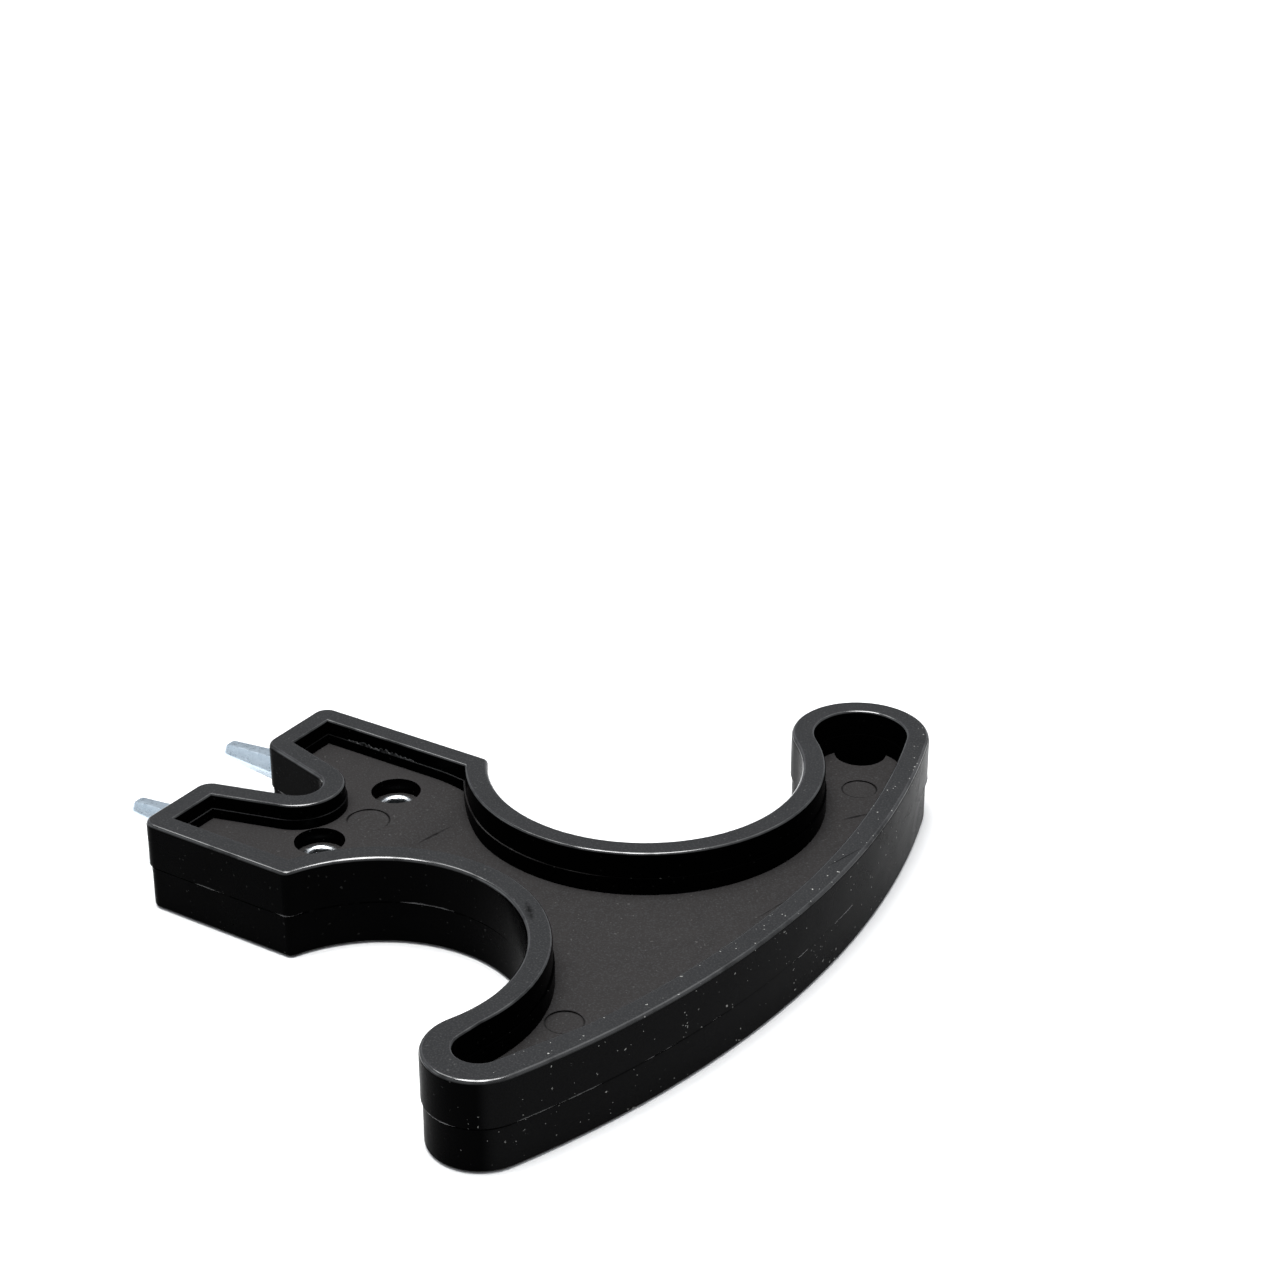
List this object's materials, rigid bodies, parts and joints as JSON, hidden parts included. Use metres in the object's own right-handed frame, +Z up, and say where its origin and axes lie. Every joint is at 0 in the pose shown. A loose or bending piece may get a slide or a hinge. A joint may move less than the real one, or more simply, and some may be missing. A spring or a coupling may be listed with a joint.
{
  "type": "two-pin spike wrench",
  "caption": "Black moulded hand wrench with a palm arc, finger scallops and tapered drive pins that turn screw-in shoe spikes by their two drive holes.",
  "frame": {"origin": "centre of the bounding box in X and Y, on the underside (Z = 0)", "axes": "+X runs from the drive pins to the palm arc, +Y towards the longer end of the palm arc, +Z up out of the face that shows the screws"},
  "size_m": [0.0706, 0.0798, 0.0098],
  "materials": {
    "handle": "black moulded plastic, satin rim and web with a fine grain, glossier upright walls",
    "drive_pin": "bright zinc plating with a faint blue cast",
    "set_screw": "bright zinc plating, dark socket"
  },
  "bodies": {
    "root": {"handle": "handle", "drive_pin_left": "drive_pin", "drive_pin_right": "drive_pin", "set_screw_left": "set_screw", "set_screw_right": "set_screw"}
  },
  "joints": []
}
